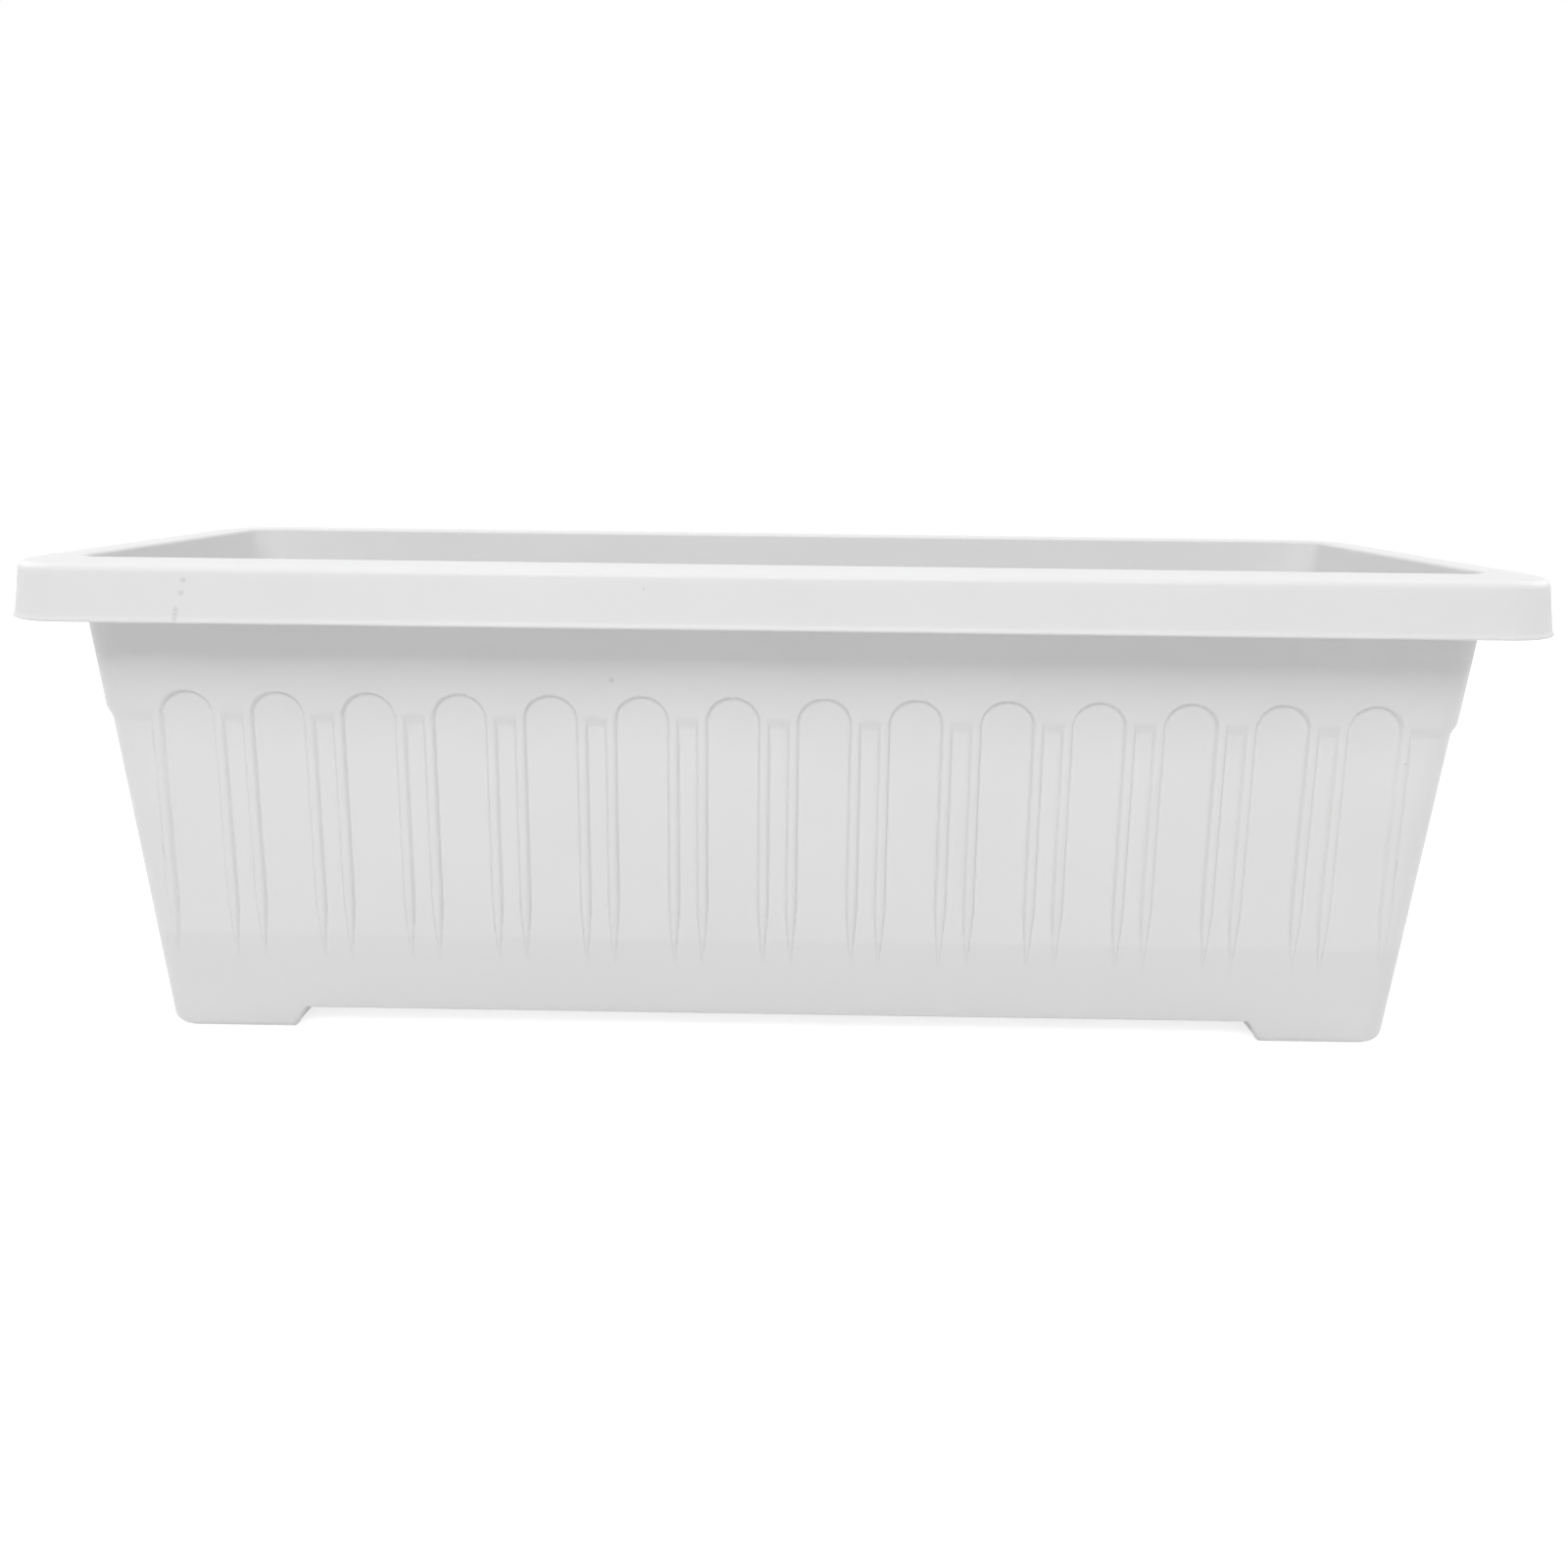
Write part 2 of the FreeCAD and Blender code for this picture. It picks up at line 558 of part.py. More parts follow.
def make_plug(number):
    """A drain plug: a round shank under a flat-sided flange, with a fin to pull it by."""
    body = new_body(f"drain_plug_{number}")
    body.setExpression("Placement.Base.x", f"({number} - (sizes.drains + 1) / 2) * derived.drain_pitch")
    body.setExpression("Placement.Base.z", "derived.floor_top")
    shank = new_sketch(body, "shank", "XY_Plane")
    draw_circle(shank, "0", "0", "derived.plug_radius")
    pad(body, "shank_pad", shank, "sizes.plug_reach", reverse=True)
    flange = new_sketch(body, "flange", "XY_Plane")
    reach = "sizes.plug_flange_width / 2 / cos(180 deg / sizes.plug_sides)"
    sides = range(int(value("sizes.plug_sides")))
    turns = [f"({side} + 1 / 2) * 360 deg / sizes.plug_sides" for side in sides]
    draw_polygon(flange, [(f"{reach} * cos({turn})", f"{reach} * sin({turn})") for turn in turns])
    pad(body, "flange_pad", flange, "sizes.plug_flange")
    fin = new_sketch(body, "fin", "XZ_Plane")
    half = "sizes.plug_fin_width / 2"
    corner = f"{half} - sizes.plug_fin_corner"
    root = "sizes.plug_flange / 2"
    top = "sizes.plug_flange + sizes.plug_fin_height"
    shoulder = f"{top} - sizes.plug_fin_corner"
    draw_polygon(fin, (
        (f"-{half}", root),
        (half, root),
        (half, shoulder),
        (corner, top),
        (f"-({corner})", top),
        (f"-{half}", shoulder),
    ))
    pad(body, "fin_pad", fin, "sizes.plug_fin", both_ways=True)
    return body


def make_grid(side, turn):
    """One half of the false floor: a slotted plate with a turned-down edge on crossed legs."""
    body = new_body(f"drainage_grid_{side}")
    body.Placement = FreeCAD.Placement(FreeCAD.Vector(), FreeCAD.Rotation(FreeCAD.Vector(0, 0, 1), turn))
    y = "derived.grid_depth / 2"
    plate = new_sketch(body, "plate", "XY_Plane", ("0", "0", "derived.grid_edge_level"))
    draw_rounded(plate, "derived.grid_start", "derived.grid_half", f"-{y}", y, "derived.grid_corner")
    pad(body, "plate_pad", plate, "sizes.grid_edge")
    inset = "sizes.grid_wall"
    under = new_sketch(body, "under", "XY_Plane", ("0", "0", "derived.grid_edge_level"))
    draw_rounded(under, f"derived.grid_start + {inset}", f"derived.grid_half - {inset}", f"{inset} - {y}",
                 f"{y} - {inset}", f"derived.grid_corner - {inset}")
    pocket(body, "under_cut", under, "sizes.grid_edge - sizes.grid_plate", reverse=True)
    add_legs(body)
    for name, y, length, count in (
        ("middle", "0", "sizes.middle_slot_length", "sizes.middle_slots"),
        ("side", "derived.slot_row", "sizes.side_slot_length", "sizes.side_slots"),
    ):
        add_slots(body, name, y, length, count)
    finger = new_sketch(body, "finger", "XY_Plane", ("0", "0", "sizes.grid_level"))
    draw_circle(finger, "derived.grid_half - sizes.finger_inset", "0", "sizes.finger_diameter / 2")
    pocket(body, "finger_hole", finger, "sizes.grid_plate + sizes.overrun")
    return body


def add_legs(body):
    """Legs of two crossed webs in two rows, from the floor of the trough into the plate."""
    root = "derived.grid_underside + sizes.grid_plate / 2"
    foot, head = "sizes.leg_foot_width / 2", "sizes.leg_width / 2"
    webs = []
    for name, plane, place in (
        ("along", "XZ_Plane", ("derived.leg_start", "0", "-derived.leg_row")),
        ("across", "YZ_Plane", ("derived.leg_row", "0", "derived.leg_start")),
    ):
        web = new_sketch(body, f"leg_{name}", plane, place)
        draw_polygon(web, (
            (f"-{foot}", "derived.floor_top"),
            (foot, "derived.floor_top"),
            (head, root),
            (f"-{head}", root),
        ))
        webs.append(pad(body, f"leg_{name}_pad", web, "sizes.leg_web", both_ways=True))
    repeat(body, "legs", webs, [
        row(body, "leg", "X_Axis", "derived.leg_pitch", "sizes.leg_rows"),
        mirror(body, "leg", "XZ_Plane"),
    ])


def add_slots(body, name, y, length, count):
    """A row of drain slots along X, with its mirror image if it lies off the middle."""
    sketch = new_sketch(body, f"{name}_slot", "XY_Plane", ("0", "0", "sizes.grid_level"))
    x = "derived.slot_start"
    half = "sizes.slot_width / 2"
    low, high = f"{y} - {length} / 2", f"{y} + {length} / 2"
    draw_polygon(sketch, (
        (f"{x} - {half}", low),
        (f"{x} + {half}", low),
        (f"{x} + {half}", high),
        (f"{x} - {half}", high),
    ))
    slot = pocket(body, f"{name}_slot_cut", sketch, "sizes.grid_plate + sizes.overrun")
    steps = [row(body, f"{name}_slot", "X_Axis", "derived.slot_pitch", count)]
    if y != "0":
        steps.append(mirror(body, f"{name}_slot", "XZ_Plane"))
    repeat(body, f"{name}_slots", [slot], steps)


def check_document(parts):
    """Stop if any object failed or any sub-part is not one sound solid."""
    for item in doc.Objects:
        if "Invalid" in item.State or "Error" in item.State:
            raise RuntimeError(f"{item.Name}: {item.State}")
    for part in parts:
        if part.Shape.isNull() or not part.Shape.isValid() or len(part.Shape.Solids) != 1:
            raise RuntimeError(f"{part.Label} is not one sound solid")


parts = [make_trough(), make_grid("right", 0), make_grid("left", HALF_TURN)]
parts += [make_plug(number) for number in range(1, int(value("sizes.drains")) + 1)]
doc.recompute()
check_document(parts)
os.makedirs("parts", exist_ok=True)
for part in parts:
    part.Shape.exportStep(f"parts/{part.Label}.step")
    box = part.Shape.BoundBox
    extent = f"{box.XLength:.1f} x {box.YLength:.1f} x {box.ZLength:.1f} mm"
    print(f"{part.Label}: {part.Shape.Volume:.0f} mm3, {extent}")
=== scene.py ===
"""Looks of the balcony planter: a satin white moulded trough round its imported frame."""
import math
from collections import namedtuple

import bmesh
import bpy
import numpy as np
from mathutils import Matrix, Vector
from mathutils.geometry import tessellate_polygon


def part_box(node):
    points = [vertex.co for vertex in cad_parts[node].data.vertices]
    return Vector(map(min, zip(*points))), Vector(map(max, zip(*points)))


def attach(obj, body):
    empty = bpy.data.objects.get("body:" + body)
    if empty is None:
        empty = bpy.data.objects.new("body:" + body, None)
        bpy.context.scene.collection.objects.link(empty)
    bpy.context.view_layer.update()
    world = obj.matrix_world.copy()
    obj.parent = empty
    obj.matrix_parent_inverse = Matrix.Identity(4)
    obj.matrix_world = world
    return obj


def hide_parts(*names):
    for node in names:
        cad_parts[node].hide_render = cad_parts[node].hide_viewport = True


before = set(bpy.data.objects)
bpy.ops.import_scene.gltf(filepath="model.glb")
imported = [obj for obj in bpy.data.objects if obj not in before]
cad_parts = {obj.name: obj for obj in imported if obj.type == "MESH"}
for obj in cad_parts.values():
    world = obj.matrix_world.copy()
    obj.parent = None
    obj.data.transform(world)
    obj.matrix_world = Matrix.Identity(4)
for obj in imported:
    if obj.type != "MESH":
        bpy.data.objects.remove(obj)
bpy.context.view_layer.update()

# Walls and rim, in millimetres
MM = 0.001
RIM_X, RIM_Y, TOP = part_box("trough")[1] / MM
RIM_CORNER = 30
SKIRT_HEIGHT = 22.6
SKIRT_FLARE = 2.4
SKIRT_WALL = 2
SKIRT_LIP = 0.9
LIP_HEIGHT = 1.8
LIP_FLARE = 0.5
RIM_DECK = 2.4
RIM_EDGE = 3.2
DECK_FALL = 0.7
OVERHANG = 22.8
END_SLOPE = math.tan(math.radians(6.3))
SIDE_SLOPE = math.tan(math.radians(6.1))
WALL = 2.2
WALL_CORNER = 15
MOUTH_EDGE = 1.5
ROOT_FILLET = 1.6
SKIRT_LEVEL = TOP - SKIRT_HEIGHT
DECK_LEVEL = TOP - RIM_DECK
BASE_X = RIM_X - OVERHANG - SKIRT_LEVEL * END_SLOPE
BASE_Y = RIM_Y - OVERHANG - SKIRT_LEVEL * SIDE_SLOPE

# Feet and floor
FLOOR = 2.4
FOOT_HEIGHT = 9.5
FLOOR_TOP = FOOT_HEIGHT + FLOOR
FOOT_LENGTH = 62
FOOT_WIDTH = 42
FOOT_SLANT = 5
FOOT_EDGE = 3.4
FLOOR_EDGE = 1.2
FOOT_WALL = 3
FOOT_CORNER = 6
LOW_BAND = 16
TUCK = 0.4
SEAT = 0.1
GAP_X = BASE_X + FOOT_HEIGHT * END_SLOPE - FOOT_LENGTH
GAP_Y = BASE_Y + FOOT_HEIGHT * SIDE_SLOPE - FOOT_WIDTH
DRAINS = 6
DRAIN_INSET = 57.5
DRAIN_RADIUS = 6.2

# Flutes
ARCH_PITCH = 36.25
ARCH_RADIUS = 10.1
SPRING = 136.2
BAND_RELIEF = 1.55
RAMP = 6
ARCH_EDGE = 1
RIB_OFFSET = 12.4
RIB_HALF = 2.3
RIB_RISE = 1.55
RIB_POWER = 3.4
RIB_TIP = 33
RIB_TAPER = 24
RIB_SLENDER = 0.7
RIB_THINNEST = 0.0004
GROOVE_DEPTH = 0.3
GROOVE_HALF = 0.4
LONG_ARCHES = 14
END_ARCHES = 3

# Places of points along the walls
PANEL_STEP = 1.5
HEAD_STEP = 0.6
HEAD_START_SHARE = 1 / 3
RIB_STEP = 0.3
GAP_COLUMNS = 3
CORNER_COLUMNS = 80
FLAT_X = BASE_X - WALL_CORNER - TUCK
FLAT_Y = BASE_Y - WALL_CORNER - TUCK

# Rows of points from top to bottom
ROW_STEP = 0.5
ROW_GAP = 1
PLAIN_ROWS = 8
SHAFT_ROWS = 10
TIP_ROWS = 12
INSIDE_ROWS = 8
SKIRT_ROWS = 6
LIP_ROWS = 4
UNDER_TIP = 6
OVER_BAND = 4
BAND_SHARES = (1, 0.5)
DECK_SHARES = (0.15, 0.5, 0.85)
ROUND_STEPS = 7
CIRCLE_STEPS = 48
SHARP_ANGLE = math.radians(40)

# Finishes: linear colours, roughness and strength of the grain
Finish = namedtuple("Finish", "name colour shade speck rough grain")
TROUGH_FINISH = Finish(
    name="trough_plastic",
    colour=(0.83, 0.83, 0.83),
    shade=(0.81, 0.81, 0.81),
    speck=(0.42, 0.42, 0.41),
    rough=0.42,
    grain=0.35,
)
GRID_FINISH = Finish(
    name="grid_plastic",
    colour=(0.6, 0.605, 0.6),
    shade=(0.56, 0.565, 0.56),
    speck=(0.3, 0.3, 0.3),
    rough=0.5,
    grain=0.5,
)
PLUG_FINISH = Finish(
    name="plug_rubber",
    colour=(0.045, 0.045, 0.045),
    shade=(0.035, 0.035, 0.035),
    speck=(0.12, 0.12, 0.12),
    rough=0.62,
    grain=0.8,
)
PLASTIC_IOR = 1.49
RUBBER_SPECULAR = 0.35
SUBSURFACE_WEIGHT = 0.12
SUBSURFACE_RADIUS = (1, 0.95, 0.9)
SUBSURFACE_SCALE = 0.003

# Textures: waves per metre, and depths in millimetres
TEXTURE_LOW = 0.3
TEXTURE_HIGH = 0.7
MOTTLE_SCALE = 14
MOTTLE_DETAIL = 5
SPECK_SCALE = 150
SPECK_SIZE = 0.08
RARE_SCALE = 37.5
RARE_DETAIL = 1
RARE_LOW = 0.7
RARE_HIGH = 0.74
GLOSS_SCALE = 45
GLOSS_DETAIL = 6
GLOSS_BREAKUP = 0.65
ROUGH_LESS = 0.05
ROUGH_MORE = 0.06
BUMP_DETAIL = 2
FLOW_SCALE = 22
FLOW_STRENGTH = 0.12
FLOW_DEPTH = 0.6
GRAIN_SCALE = 2600
GRAIN_DEPTH = 0.04

# Painted shade: the wall a shade greyer below the grids' level; and the grey marks: two dots and a streak
# on the skirt, a dot on the wall
GRID_LEVEL = 44
PAINTED_LOW_SHADE = (0.803, 0.803, 0.803)
MARK_GREY = (0.66, 0.66, 0.66)
MARK_RADIUS = 1.5
MARK_PLACES = (
    (-222.6, -100.8, 193.6),
    (-223.2, -101.1, 188.8),
    (-225.2, -101.6, 182.6),
    (-225.4, -101.7, 180.8),
    (-225.5, -101.8, 179),
    (-66, -78.5, 153.5),
)

# Camera at the photograph's viewing angle, in millimetres, radians and pixels of a 1600-pixel image
IMAGE_PX = 1600
SENSOR = 36
CAMERA_Y = -520.53
CAMERA_Z = 244.55
CAMERA_PITCH = 0.0711
CAMERA_YAW = -0.0077
CAMERA_ROLL = 0.0119
FOCAL_PX = 1160.53
MIDDLE_X_PX = 798.43
MIDDLE_Y_PX = 542.04
CLIP_START = 10
CLIP_END = 50000

# Studio, in metres and watts
Lamp = namedtuple("Lamp", "name place target width height power")
WHITE = (1, 1, 1, 1)
WORLD_STRENGTH = 0.295
STAGE_HALF = 1.6
STAGE_GLOW = 0.72
STAGE_GREY = (0.83, 0.83, 0.83)
STAGE_ROUGHNESS = 0.9
LAMPS = (
    Lamp("key", (-0.1, -1.32, 1.58), (0, 0, 0.1), 1.8, 1.0, 23),
    Lamp("side_-1", (-1.9, 0.5, 1.05), (0, 0, 0.15), 1.2, 0.9, 7),
    Lamp("side_1", (1.9, 0.5, 1.05), (0, 0, 0.15), 1.2, 0.9, 7),
    Lamp("top", (0, 0.3, 1.7), (0, 0, 0.2), 3.6, 1.0, 8),
)


def smooth_step(share):
    """Rises softly from 0 to 1 as its input does."""
    held = np.clip(share, 0, 1)
    return held * held * (3 - 2 * held)


def relief(along, level, arches):
    """How far a wall stands out from its panel: the plain band, the arch heads and the ribs."""
    last = (arches - 1) / 2
    half = last % 1
    nearest = np.clip(np.round(along / ARCH_PITCH - half) + half, -last, last)
    off = along - nearest * ARCH_PITCH
    rise = np.maximum(level - SPRING, 0)
    from_edge = np.hypot(off, rise) - ARCH_RADIUS
    band = BAND_RELIEF * smooth_step((level - SPRING) / RAMP + 0.5) * smooth_step(from_edge / ARCH_EDGE)
    growth = np.clip((level - RIB_TIP) / RIB_TAPER, 0, 1) ** RIB_SLENDER
    across = np.abs(np.abs(off) - RIB_OFFSET) / np.maximum(RIB_HALF * growth, RIB_THINNEST)
    rib = RIB_RISE * growth * np.clip(1 - across ** RIB_POWER, 0, 1)
    below = np.clip((SPRING - level) / RAMP, 0, 1)
    groove = GROOVE_DEPTH * growth * below * np.exp(-((across - 1) * RIB_HALF / GROOVE_HALF) ** 2)
    head_groove = GROOVE_DEPTH * (1 - below) * np.exp(-(from_edge / GROOVE_HALF) ** 2)
    return np.maximum(band, rib) - np.maximum(groove, head_groove)


def flat_places(arches, flat):
    """Places along a wall, close together over the edges of its arches and over its ribs."""
    head_low = ARCH_RADIUS * HEAD_START_SHARE
    rib_low = RIB_OFFSET - RIB_HALF - HEAD_STEP
    rib_high = RIB_OFFSET + RIB_HALF + HEAD_STEP
    half = np.concatenate((
        np.arange(PANEL_STEP, head_low, PANEL_STEP),
        np.arange(head_low, rib_low, HEAD_STEP),
        np.arange(rib_low, rib_high, RIB_STEP),
        np.linspace(rib_high, ARCH_PITCH / 2, GAP_COLUMNS),
    ))
    one = np.concatenate((-half[::-1], [0], half[:-1]))
    centres = (np.arange(arches) - (arches - 1) / 2) * ARCH_PITCH
    places = (centres[:, None] + one).ravel()
    return places[np.abs(places) < flat]


def wall_columns():
    """Places round the trough: the wall, the place along its flat, and the share of the corner after it."""
    walls, along, share = [], [], []
    corner = (np.arange(CORNER_COLUMNS) + 0.5) / CORNER_COLUMNS
    long_places = flat_places(LONG_ARCHES, FLAT_X)
    end_places = flat_places(END_ARCHES, FLAT_Y)
    for wall, places in enumerate((long_places, end_places, long_places, end_places)):
        walls.append(np.full(len(places) + CORNER_COLUMNS, wall))
        along.append(np.concatenate((places, np.full(CORNER_COLUMNS, places[-1]))))
        share.append(np.concatenate((np.full(len(places), -1.0), corner)))
    return np.concatenate(walls), np.concatenate(along), np.concatenate(share)


WALLS, ALONG, SHARE = wall_columns()
IS_END = WALLS % 2 == 1
IN_CORNER = SHARE >= 0
NEXT_ALONG = np.where(IS_END, -ALONG.min(), -ALONG[IS_END].min())
TURNS = np.stack((np.cos(WALLS * math.pi / 2), np.sin(WALLS * math.pi / 2)), axis=-1)


def turn(local):
    """Turn places on each wall by that wall's quarter turns."""
    x = local[:, 0] * TURNS[:, 0] - local[:, 1] * TURNS[:, 1]
    y = local[:, 0] * TURNS[:, 1] + local[:, 1] * TURNS[:, 0]
    return np.stack((x, y), axis=-1)


def outline(half_x, half_y, radius):
    """Points and outward directions round a rounded rectangle, and each point's places on its two walls."""
    half_along = np.where(IS_END, half_y, half_x)
    half_out = np.where(IS_END, half_x, half_y)
    before = half_along - radius - ALONG
    after = half_out - radius - NEXT_ALONG
    bend = radius * math.pi / 2
    run = np.where(IN_CORNER, SHARE * (before + bend + after), 0)
    angle = np.clip((run - before) / radius, 0, math.pi / 2)
    angle = np.where(IN_CORNER, angle, 0)
    ahead = ALONG + np.minimum(run, before) + radius * np.sin(angle)
    ahead = np.where(IN_CORNER, ahead, ALONG)
    past = np.where(IN_CORNER, np.maximum(run - before - bend, 0), 0)
    out = half_out - radius * (1 - np.cos(angle)) - past
    facing = np.stack((np.sin(angle), -np.cos(angle)), axis=-1)
    local = np.stack((ahead, -out), axis=-1)
    return turn(local), turn(facing), ahead, out, angle


def ring(half_x, half_y, radius, level, stand_out=0):
    """One row of points round the trough."""
    flat, facing, *_ = outline(half_x, half_y, radius)
    flat = flat + facing * np.broadcast_to(stand_out, WALLS.shape)[:, None]
    return np.column_stack((flat, np.broadcast_to(level, WALLS.shape)))


def panel_ring(level, inset=0, fluted=False):
    """A row on the wall panels at a level, moved inwards, with the flutes if asked."""
    half_x = BASE_X + level * END_SLOPE - inset
    half_y = BASE_Y + level * SIDE_SLOPE - inset
    radius = np.maximum(WALL_CORNER - np.broadcast_to(inset, WALLS.shape), FOOT_EDGE)
    stand_out = 0
    if fluted:
        _, _, ahead, out, angle = outline(half_x, half_y, radius)
        arches = np.where(IS_END, END_ARCHES, LONG_ARCHES)
        other = np.where(IS_END, LONG_ARCHES, END_ARCHES)
        here = relief(ahead, level, arches)
        there = relief(-out, level, other)
        stand_out = np.where(angle < math.pi / 4, here, there)
    return ring(half_x, half_y, radius, level, stand_out)


def skirt_ring(level, inset):
    """A row on the skirt, which leans out towards its lower edge."""
    near_lip = max(0, 1 - (level - SKIRT_LEVEL - SKIRT_LIP) / LIP_HEIGHT)
    lip = LIP_FLARE * (1 - min(1, near_lip) ** 2)
    lean = lip + (SKIRT_FLARE - LIP_FLARE) * (level - SKIRT_LEVEL) / SKIRT_HEIGHT + inset
    return ring(RIM_X - lean, RIM_Y - lean, RIM_CORNER - lean, level)


def foot_share():
    """0 over the gaps between the feet, 1 over the feet, rising along a foot's leaning side."""
    gap = np.where(IS_END, GAP_Y, GAP_X)
    return np.where(IN_CORNER, 1, np.clip((np.abs(ALONG) - gap) / FOOT_SLANT, 0, 1))


def wall_rows():
    """The outside of the walls from under the rim down to the feet, then the inside up to the mouth."""
    foot = foot_share()
    bottom = FOOT_HEIGHT * (1 - foot)
    edge = FLOOR_EDGE + (FOOT_EDGE - FLOOR_EDGE) * foot
    head_top = SPRING + ARCH_RADIUS
    taper_top = RIB_TIP + RIB_TAPER
    levels = np.concatenate((
        np.linspace(DECK_LEVEL - ROOT_FILLET, head_top + RAMP, PLAIN_ROWS),
        np.arange(head_top + ARCH_EDGE * 2, SPRING - RAMP, -ROW_STEP),
        np.linspace(SPRING - RAMP - ROW_GAP, taper_top + ROW_GAP, SHAFT_ROWS),
        np.linspace(taper_top, RIB_TIP - ROW_GAP, TIP_ROWS),
        (RIB_TIP - UNDER_TIP, LOW_BAND + OVER_BAND),
    ))
    rows = [panel_ring(level, fluted=True) for level in levels]
    for share in BAND_SHARES:
        rows.append(panel_ring(bottom + edge + (LOW_BAND - bottom - edge) * share))
    for angle in np.linspace(0, math.pi / 2, ROUND_STEPS):
        rows.append(panel_ring(bottom + edge * (1 - math.sin(angle)), edge * (1 - math.cos(angle))))
    for level in np.linspace(LOW_BAND, TOP - MOUTH_EDGE, INSIDE_ROWS):
        rows.append(panel_ring(level, WALL))
    return rows


def deck_rows():
    """The rim's top, from its rounded inner edge to where its outer edge starts to bend down."""
    rows = []
    mouth = TOP - MOUTH_EDGE
    mouth_x = BASE_X + mouth * END_SLOPE - WALL
    mouth_y = BASE_Y + mouth * SIDE_SLOPE - WALL
    inner = WALL_CORNER - WALL
    for angle in np.linspace(0, math.pi / 2, ROUND_STEPS)[1:]:
        out = MOUTH_EDGE * (1 - math.cos(angle))
        rows.append(ring(mouth_x + out, mouth_y + out, inner + out, mouth + MOUTH_EDGE * math.sin(angle)))
    edge_x = RIM_X - SKIRT_FLARE - RIM_EDGE
    edge_y = RIM_Y - SKIRT_FLARE - RIM_EDGE
    edge_corner = RIM_CORNER - SKIRT_FLARE - RIM_EDGE
    for share in DECK_SHARES:
        rows.append(ring(
            mouth_x + MOUTH_EDGE + (edge_x - mouth_x - MOUTH_EDGE) * share,
            mouth_y + MOUTH_EDGE + (edge_y - mouth_y - MOUTH_EDGE) * share,
            inner + MOUTH_EDGE + (edge_corner - inner - MOUTH_EDGE) * share,
            TOP - DECK_FALL * share ** 2,
        ))
    return rows


def skirt_rows():
    """The rim's outer edge, the outside of the skirt, its lip, and its inside up to the deck."""
    rows = []
    quarter = np.linspace(0, math.pi / 2, ROUND_STEPS)
    edge_top = TOP - DECK_FALL
    for angle in quarter:
        level = edge_top - RIM_EDGE * (1 - math.cos(angle))
        rows.append(skirt_ring(level, RIM_EDGE * (1 - math.sin(angle))))
    lip_low = SKIRT_LEVEL + SKIRT_LIP
    lip_top = lip_low + LIP_HEIGHT
    face_levels = np.linspace(edge_top - RIM_EDGE, lip_top, SKIRT_ROWS)[1:]
    lip_levels = np.linspace(lip_top, lip_low, LIP_ROWS)[1:]
    for level in np.concatenate((face_levels, lip_levels)):
        rows.append(skirt_ring(level, 0))
    for angle in np.linspace(0, math.pi, 2 * ROUND_STEPS)[1:-1]:
        inset = SKIRT_WALL / 2 * (1 - math.cos(angle))
        rows.append(skirt_ring(SKIRT_LEVEL + SKIRT_LIP * (1 - math.sin(angle)), inset))
    for level in np.linspace(lip_low, DECK_LEVEL - ROOT_FILLET, LIP_ROWS):
        rows.append(skirt_ring(level, SKIRT_WALL))
    for angle in quarter[1:]:
        level = DECK_LEVEL - ROOT_FILLET * (1 - math.sin(angle))
        rows.append(skirt_ring(level, SKIRT_WALL + ROOT_FILLET * (1 - math.cos(angle))))
    return rows


def root_rows():
    """The fillet where the underside of the deck meets the wall."""
    rows = []
    root_x = BASE_X + DECK_LEVEL * END_SLOPE + BAND_RELIEF
    root_y = BASE_Y + DECK_LEVEL * SIDE_SLOPE + BAND_RELIEF
    radius = WALL_CORNER + BAND_RELIEF
    for angle in np.linspace(0, math.pi / 2, ROUND_STEPS)[:-1]:
        out = ROOT_FILLET * (1 - math.sin(angle))
        level = DECK_LEVEL - ROOT_FILLET * (1 - math.cos(angle))
        rows.append(ring(root_x + out, root_y + out, radius + out, level))
    return rows


def soften(mesh):
    """Shade smooth, apart from true edges."""
    mesh.shade_smooth()
    mesh.set_sharp_from_angle(angle=SHARP_ANGLE)


def new_object(name, points, faces):
    """A smooth mesh object from points in millimetres."""
    mesh = bpy.data.meshes.new(name)
    mesh.from_pydata((np.asarray(points) * MM).tolist(), [], faces)
    shape = bmesh.new()
    shape.from_mesh(mesh)
    bmesh.ops.recalc_face_normals(shape, faces=shape.faces)
    shape.to_mesh(mesh)
    shape.free()
    soften(mesh)
    piece = bpy.data.objects.new(name, mesh)
    bpy.context.scene.collection.objects.link(piece)
    return piece


def make_shell():
    """Walls and rim as one closed ring of rows."""
    rows = wall_rows() + deck_rows() + skirt_rows() + root_rows()
    count, width = len(rows), len(WALLS)
    index = np.arange(count * width).reshape(count, width)
    below = np.roll(index, -1, axis=0)
    corners = (index, below, np.roll(below, -1, axis=1), np.roll(index, -1, axis=1))
    faces = np.stack(corners, axis=-1).reshape(-1, 4)
    return new_object("trough_shell", np.concatenate(rows), faces.tolist())


def rounded_loop(low_x, high_x, low_y, high_y, radii):
    """Points round a rectangle with its own radius at each corner, from the far right corner on."""
    corners = (
        (high_x, high_y, -1, -1),
        (low_x, high_y, 1, -1),
        (low_x, low_y, 1, 1),
        (high_x, low_y, -1, 1),
    )
    points = []
    for quarter, ((x, y, inward_x, inward_y), radius) in enumerate(zip(corners, radii)):
        for angle in np.linspace(quarter, quarter + 1, ROUND_STEPS) * math.pi / 2:
            along_x = x + radius * (inward_x + math.cos(angle))
            points.append((along_x, y + radius * (inward_y + math.sin(angle))))
    return np.array(points)


def at_level(loop, level):
    """A flat loop's points at a level."""
    return np.column_stack((loop, np.full(len(loop), level)))


